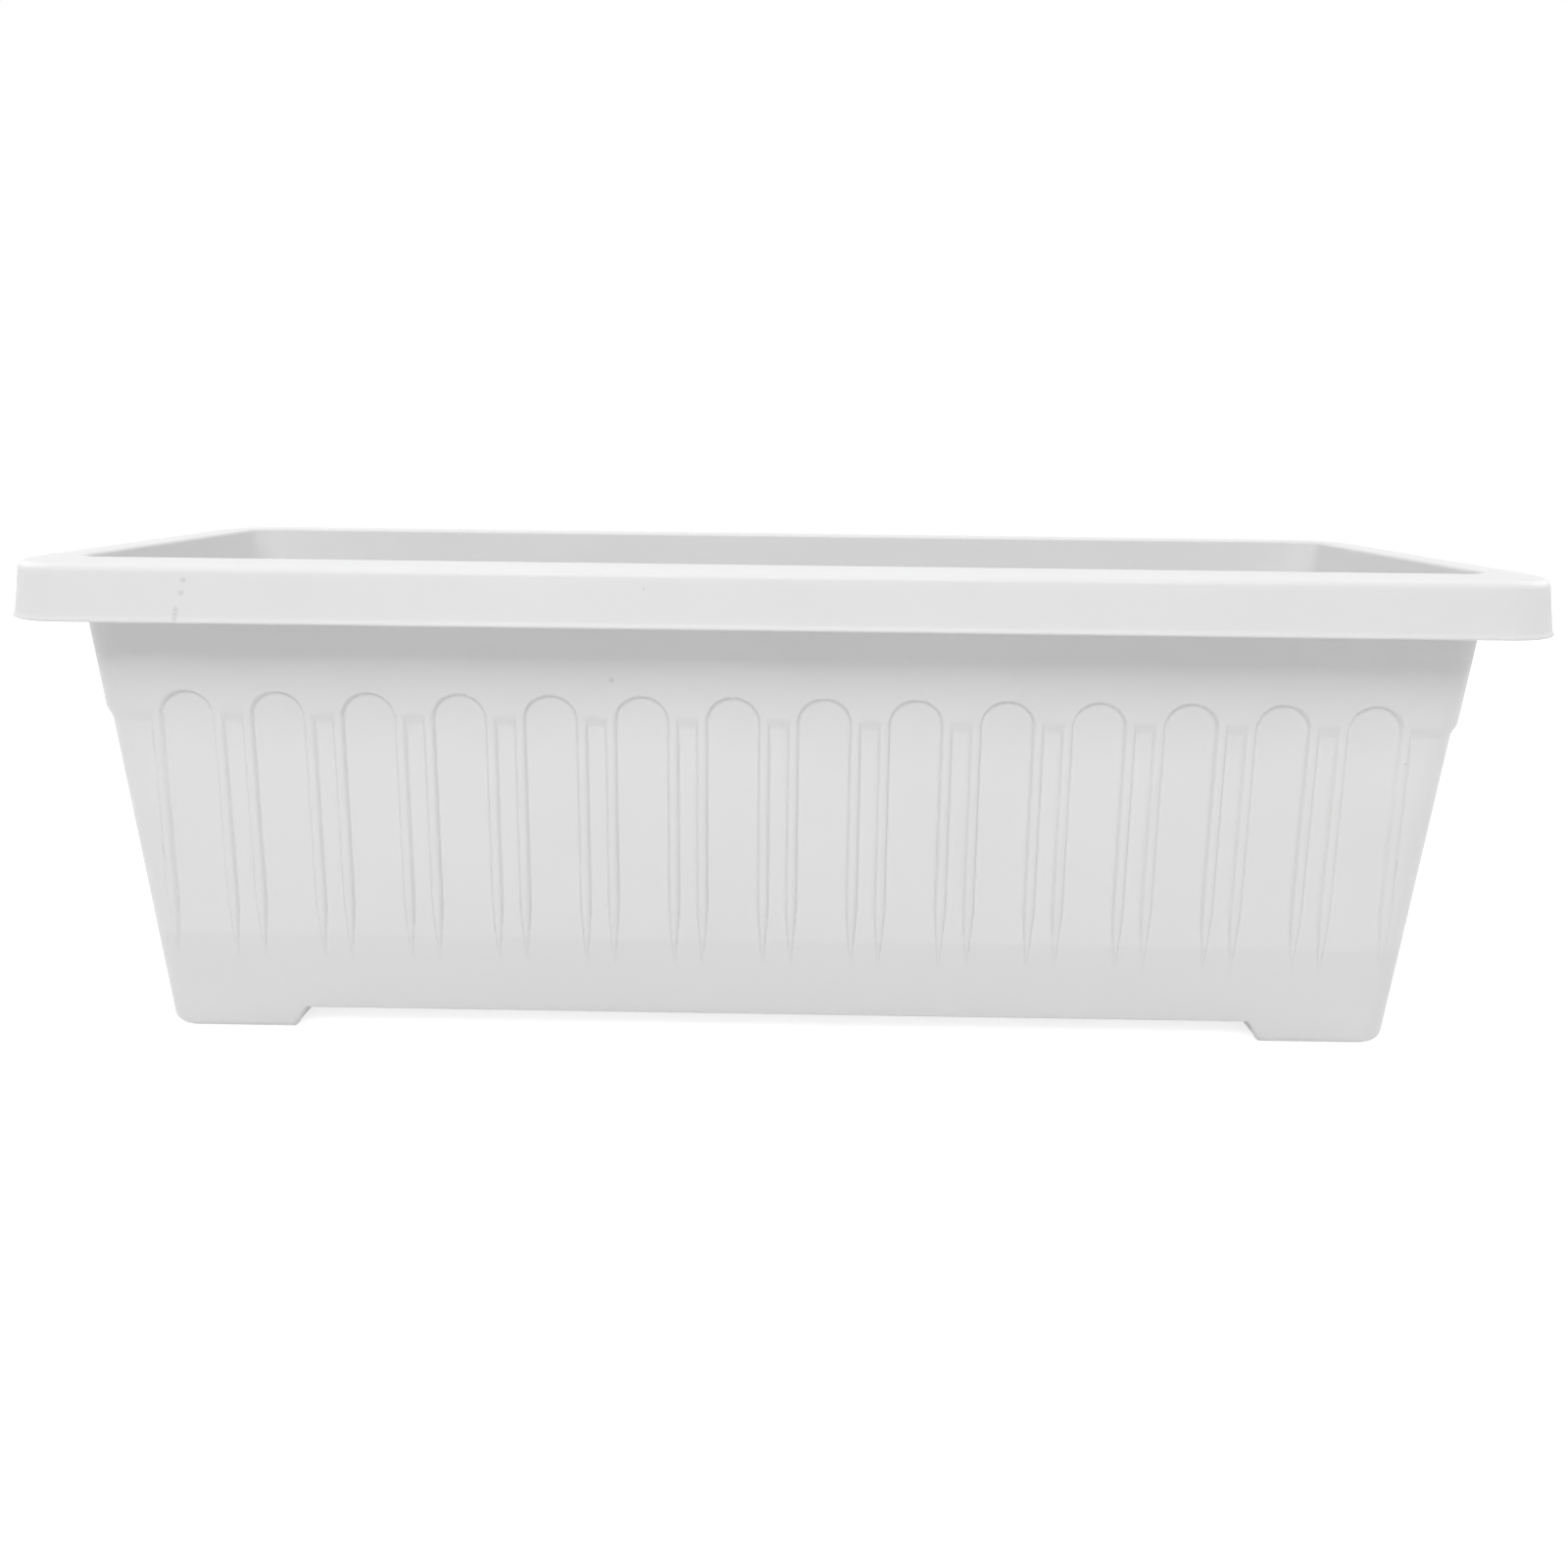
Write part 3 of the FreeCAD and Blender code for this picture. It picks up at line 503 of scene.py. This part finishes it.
def well_loop():
    """The mouth of a foot's hollow, on the right at the back."""
    lean = FOOT_SLANT * (1 - FLOOR / FOOT_HEIGHT)
    low_x, high_x = GAP_X + lean + FOOT_WALL, BASE_X + FLOOR * END_SLOPE - FOOT_WALL
    low_y, high_y = GAP_Y + lean + FOOT_WALL, BASE_Y + FLOOR * SIDE_SLOPE - FOOT_WALL
    return rounded_loop(low_x, high_x, low_y, high_y, [WALL_CORNER - FOOT_WALL] * 4)


def foot_loop(level, inset):
    """The outside of a foot at a level, just within the walls' own corner."""
    side = FOOT_SLANT * (1 - level / FOOT_HEIGHT) + inset
    far_x = BASE_X + level * END_SLOPE - inset - TUCK
    far_y = BASE_Y + level * SIDE_SLOPE - inset - TUCK
    outer = WALL_CORNER - inset - TUCK
    inner = FOOT_CORNER - inset
    loop = rounded_loop(GAP_X + side, far_x, GAP_Y + side, far_y, (outer, TUCK, inner, TUCK))
    return at_level(loop, level)


def make_foot(name, x_sign, y_sign):
    """A hollow corner foot: its hollow up to the floor, then over and down its sides to the sole."""
    well = well_loop()
    loops = [at_level(well, FLOOR), at_level(well, FLOOR_TOP - TUCK)]
    loops += [foot_loop(FLOOR_TOP - TUCK, 0), foot_loop(FOOT_EDGE, 0)]
    for angle in np.linspace(0, math.pi / 2, ROUND_STEPS)[1:]:
        level = SEAT + (FOOT_EDGE - SEAT) * (1 - math.sin(angle))
        loops.append(foot_loop(level, FOOT_EDGE * (1 - math.cos(angle))))
    count, width = len(loops), len(well)
    index = np.arange(count * width).reshape(count, width)
    after = np.roll(index, -1, axis=1)
    bands = np.stack((index[:-1], index[1:], after[1:], after[:-1]), axis=-1).reshape(-1, 4)
    faces = [index[0].tolist(), *bands.tolist(), index[-1].tolist()]
    return new_object(name, np.concatenate(loops) * (x_sign, y_sign, 1), faces)


def make_plate(name, loops, low, high):
    """A flat plate between two levels from an outer loop and hole loops."""
    flat = np.concatenate(loops)
    count = len(flat)
    filled = tessellate_polygon([[Vector((x, y, 0)) for x, y in loop] for loop in loops])
    faces = [list(face) for face in filled] + [[corner + count for corner in face] for face in filled]
    start = 0
    for loop in loops:
        index = np.arange(start, start + len(loop))
        after = np.roll(index, -1)
        faces += np.stack((index, after, after + count, index + count), axis=-1).tolist()
        start += len(loop)
    return new_object(name, np.concatenate((at_level(flat, low), at_level(flat, high))), faces)


def circle_loop(x, y, radius):
    """Points round a circle."""
    angles = np.arange(CIRCLE_STEPS) / CIRCLE_STEPS * math.tau
    return np.column_stack((x + radius * np.cos(angles), y + radius * np.sin(angles)))


def make_floor():
    """The trough's floor with its drain holes and the openings of the hollow feet."""
    half_x = BASE_X + FOOT_HEIGHT * END_SLOPE - WALL / 2
    half_y = BASE_Y + FOOT_HEIGHT * SIDE_SLOPE - WALL / 2
    loops = [rounded_loop(-half_x, half_x, -half_y, half_y, [WALL_CORNER - WALL / 2] * 4)]
    for place in np.linspace(DRAIN_INSET - BASE_X, BASE_X - DRAIN_INSET, DRAINS):
        loops.append(circle_loop(place, 0, DRAIN_RADIUS))
    well = well_loop()
    loops += [well * signs for signs in ((1, 1), (-1, 1), (-1, -1), (1, -1))]
    return make_plate("trough_floor", loops, FOOT_HEIGHT + SEAT, FLOOR_TOP)


def unite(pieces, name):
    """Make one closed mesh of several pieces that overlap."""
    base, *others = pieces
    for piece in others:
        union = base.modifiers.new("union", "BOOLEAN")
        union.operation = "UNION"
        union.solver = "MANIFOLD"
        union.object = piece
    bpy.context.view_layer.update()
    drawn = base.evaluated_get(bpy.context.evaluated_depsgraph_get())
    base.data = bpy.data.meshes.new_from_object(drawn)
    base.modifiers.clear()
    for piece in others:
        bpy.data.objects.remove(piece)
    soften(base.data)
    base.name = name
    return base


def new_material(name):
    """A material with its node tree and its main shader."""
    material = bpy.data.materials.new(name)
    material.use_nodes = True
    return material, material.node_tree, material.node_tree.nodes["Principled BSDF"]


def noise(tree, coordinates, scale, detail, breakup=0.5):
    """A soft random texture."""
    node = tree.nodes.new("ShaderNodeTexNoise")
    node.inputs["Scale"].default_value = scale
    node.inputs["Detail"].default_value = detail
    node.inputs["Roughness"].default_value = breakup
    tree.links.new(coordinates, node.inputs["Vector"])
    return node.outputs["Fac"]


def spread(tree, source, low, high, from_low=TEXTURE_LOW, from_high=TEXTURE_HIGH):
    """Map a range of a value, by default a texture's middle range, to values between two limits."""
    node = tree.nodes.new("ShaderNodeMapRange")
    node.inputs["From Min"].default_value = from_low
    node.inputs["From Max"].default_value = from_high
    node.inputs["To Min"].default_value = low
    node.inputs["To Max"].default_value = high
    tree.links.new(source, node.inputs["Value"])
    return node.outputs["Result"]


def combine(tree, operation, first, second):
    """One value from two by a sum, product or other operation."""
    node = tree.nodes.new("ShaderNodeMath")
    node.operation = operation
    tree.links.new(first, node.inputs[0])
    tree.links.new(second, node.inputs[1])
    return node.outputs["Value"]


def blend_colours(tree, share, first, second):
    """A colour between two, where either may be a colour or a socket."""
    node = tree.nodes.new("ShaderNodeMix")
    node.data_type = "RGBA"
    tree.links.new(share, node.inputs["Factor"])
    for socket, colour in ((node.inputs["A"], first), (node.inputs["B"], second)):
        if isinstance(colour, tuple):
            socket.default_value = (*colour, 1)
        else:
            tree.links.new(colour, socket)
    return node.outputs["Result"]


def bump(tree, height, strength, depth, normal=None):
    """A surface's normal moved by a texture, on top of another bump if one is given."""
    node = tree.nodes.new("ShaderNodeBump")
    node.inputs["Strength"].default_value = strength
    node.inputs["Distance"].default_value = depth * MM
    tree.links.new(height, node.inputs["Height"])
    if normal:
        tree.links.new(normal, node.inputs["Normal"])
    return node.outputs["Normal"]


def specks(tree, coordinates):
    """A sparse scatter of tiny dots: 1 in a dot, 0 elsewhere."""
    cells = tree.nodes.new("ShaderNodeTexVoronoi")
    cells.inputs["Scale"].default_value = SPECK_SCALE
    tree.links.new(coordinates, cells.inputs["Vector"])
    dots = spread(tree, cells.outputs["Distance"], 1, 0, SPECK_SIZE / 2, SPECK_SIZE)
    rare = spread(tree, noise(tree, coordinates, RARE_SCALE, RARE_DETAIL), 0, 1, RARE_LOW, RARE_HIGH)
    return combine(tree, "MULTIPLY", dots, rare)


def moulded_plastic(finish):
    """Satin moulded plastic: faint mottling, rare specks, uneven gloss and a fine grain."""
    material, tree, shader = new_material(finish.name)
    place = tree.nodes.new("ShaderNodeTexCoord").outputs["Object"]
    mottle = spread(tree, noise(tree, place, MOTTLE_SCALE, MOTTLE_DETAIL), 0, 1)
    tone = blend_colours(tree, mottle, finish.shade, finish.colour)
    dotted = blend_colours(tree, specks(tree, place), tone, finish.speck)
    tree.links.new(dotted, shader.inputs["Base Color"])
    sheen = noise(tree, place, GLOSS_SCALE, GLOSS_DETAIL, GLOSS_BREAKUP)
    gloss = spread(tree, sheen, finish.rough - ROUGH_LESS, finish.rough + ROUGH_MORE)
    tree.links.new(gloss, shader.inputs["Roughness"])
    flow = bump(tree, noise(tree, place, FLOW_SCALE, BUMP_DETAIL), FLOW_STRENGTH, FLOW_DEPTH)
    skin = bump(tree, noise(tree, place, GRAIN_SCALE, BUMP_DETAIL), finish.grain, GRAIN_DEPTH, flow)
    tree.links.new(skin, shader.inputs["Normal"])
    return material, shader


def marks(tree, coordinates, places, radius):
    """1 at a few given places, fading out within a radius."""
    total = None
    for place in places:
        node = tree.nodes.new("ShaderNodeVectorMath")
        node.operation = "DISTANCE"
        node.inputs[1].default_value = Vector(place) * MM
        tree.links.new(coordinates, node.inputs[0])
        mark = spread(tree, node.outputs["Value"], 1, 0, 0, radius * MM)
        total = combine(tree, "MAXIMUM", total, mark) if total else mark
    return total


def make_trough_material():
    """White plastic with painted shade a shade greyer below the grids' level, and a few grey marks."""
    material, shader = moulded_plastic(TROUGH_FINISH)
    tree = material.node_tree
    plain = shader.inputs["Base Color"].links[0].from_socket
    place = tree.nodes["Texture Coordinate"].outputs["Object"]
    height = tree.nodes.new("ShaderNodeSeparateXYZ")
    tree.links.new(place, height.inputs["Vector"])
    # Painted shade: the wall's colour turns a shade greyer below the grids' level, where less light comes
    # through the thin wall
    low = spread(tree, height.outputs["Z"], 1, 0, (GRID_LEVEL - WALL) * MM, GRID_LEVEL * MM)
    painted_shade_tone = blend_colours(tree, low, plain, PAINTED_LOW_SHADE)
    marked = blend_colours(tree, marks(tree, place, MARK_PLACES, MARK_RADIUS), painted_shade_tone, MARK_GREY)
    tree.links.new(marked, shader.inputs["Base Color"])
    shader.inputs["Subsurface Weight"].default_value = SUBSURFACE_WEIGHT
    shader.inputs["Subsurface Radius"].default_value = SUBSURFACE_RADIUS
    shader.inputs["Subsurface Scale"].default_value = SUBSURFACE_SCALE
    shader.inputs["IOR"].default_value = PLASTIC_IOR
    return material


def make_grid_material():
    """Grey plastic of the drainage grids."""
    material, shader = moulded_plastic(GRID_FINISH)
    shader.inputs["IOR"].default_value = PLASTIC_IOR
    return material


def make_plug_material():
    """Black rubber of the drain plugs."""
    material, shader = moulded_plastic(PLUG_FINISH)
    shader.inputs["Specular IOR Level"].default_value = RUBBER_SPECULAR
    return material


def dress(piece, material):
    """Give a piece one material."""
    piece.data.materials.clear()
    piece.data.materials.append(material)


def make_object():
    """The trough's smooth mesh stands for its node; grids and plugs keep theirs with a better finish."""
    feet = []
    for x_sign, end in ((-1, "left"), (1, "right")):
        for y_sign, side in ((-1, "front"), (1, "back")):
            feet.append(make_foot(f"foot_{side}_{end}", x_sign, y_sign))
    trough = unite([make_shell(), make_floor(), *feet], "moulded_trough")
    dress(trough, make_trough_material())
    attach(trough, "trough")
    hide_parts("trough")
    grid, rubber = make_grid_material(), make_plug_material()
    for name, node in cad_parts.items():
        if name.startswith("drainage_grid"):
            dress(node, grid)
        elif name.startswith("drain_plug"):
            dress(node, rubber)


def make_camera():
    """A pinhole camera in front of the planter, a little turned, tilted and rolled."""
    data = bpy.data.cameras.new("camera")
    data.sensor_width = SENSOR
    data.lens = FOCAL_PX / IMAGE_PX * SENSOR
    data.shift_x = 0.5 - MIDDLE_X_PX / IMAGE_PX
    data.shift_y = MIDDLE_Y_PX / IMAGE_PX - 0.5
    data.clip_start = CLIP_START * MM
    data.clip_end = CLIP_END * MM
    right = Vector((1, 0, 0))
    ahead = Vector((0, math.cos(CAMERA_PITCH), -math.sin(CAMERA_PITCH)))
    up = right.cross(ahead)
    rolled_right = right * math.cos(CAMERA_ROLL) + up * math.sin(CAMERA_ROLL)
    rolled_up = up * math.cos(CAMERA_ROLL) - right * math.sin(CAMERA_ROLL)
    facing = Matrix((rolled_right, rolled_up, -ahead)).transposed().to_4x4()
    place = Matrix.Translation((0, CAMERA_Y * MM, CAMERA_Z * MM))
    camera = bpy.data.objects.new("camera", data)
    camera.matrix_world = Matrix.Rotation(-CAMERA_YAW, 4, "Z") @ place @ facing
    bpy.context.scene.collection.objects.link(camera)
    bpy.context.scene.camera = camera


def seen_directly(tree):
    """1 where the camera, a mirror or glass looks straight at a surface, 0 for its bounced light."""
    path = tree.nodes.new("ShaderNodeLightPath")
    total = path.outputs["Is Camera Ray"]
    for name in ("Is Glossy Ray", "Is Transmission Ray"):
        total = combine(tree, "MAXIMUM", total, path.outputs[name])
    return total


def make_world():
    """Even studio light that looks white where it is seen."""
    world = bpy.data.worlds.new("studio")
    bpy.context.scene.world = world
    world.use_nodes = True
    tree = world.node_tree
    background = tree.nodes["Background"]
    background.inputs["Color"].default_value = WHITE
    strength = spread(tree, seen_directly(tree), WORLD_STRENGTH, 1, 0, 1)
    tree.links.new(strength, background.inputs["Strength"])


def make_floor_stage():
    """A pale floor that keeps the shadow and meets the white background."""
    mesh = bpy.data.meshes.new("stage_floor")
    signs = ((-1, -1), (1, -1), (1, 1), (-1, 1))
    corners = [(x * STAGE_HALF, y * STAGE_HALF, 0) for x, y in signs]
    mesh.from_pydata(corners, [], [(0, 1, 2, 3)])
    floor = bpy.data.objects.new("stage_floor", mesh)
    bpy.context.scene.collection.objects.link(floor)
    material, tree, shader = new_material("stage_floor")
    shader.inputs["Base Color"].default_value = (*STAGE_GREY, 1)
    shader.inputs["Roughness"].default_value = STAGE_ROUGHNESS
    shader.inputs["Specular IOR Level"].default_value = 0
    shader.inputs["Emission Color"].default_value = WHITE
    glow = spread(tree, seen_directly(tree), 0, STAGE_GLOW, 0, 1)
    tree.links.new(glow, shader.inputs["Emission Strength"])
    dress(floor, material)


def add_softbox(lamp):
    """A rectangular lamp that faces its target."""
    data = bpy.data.lights.new(lamp.name, "AREA")
    data.shape = "RECTANGLE"
    data.size = lamp.width
    data.size_y = lamp.height
    data.energy = lamp.power
    softbox = bpy.data.objects.new(lamp.name, data)
    softbox.location = lamp.place
    softbox.rotation_euler = (Vector(lamp.target) - Vector(lamp.place)).to_track_quat("-Z", "Y").to_euler()
    bpy.context.scene.collection.objects.link(softbox)


def make_studio():
    """White surroundings, the floor and the lamps."""
    make_world()
    make_floor_stage()
    for lamp in LAMPS:
        add_softbox(lamp)


make_object()
make_camera()
make_studio()
bpy.context.scene.view_settings.view_transform = "Standard"
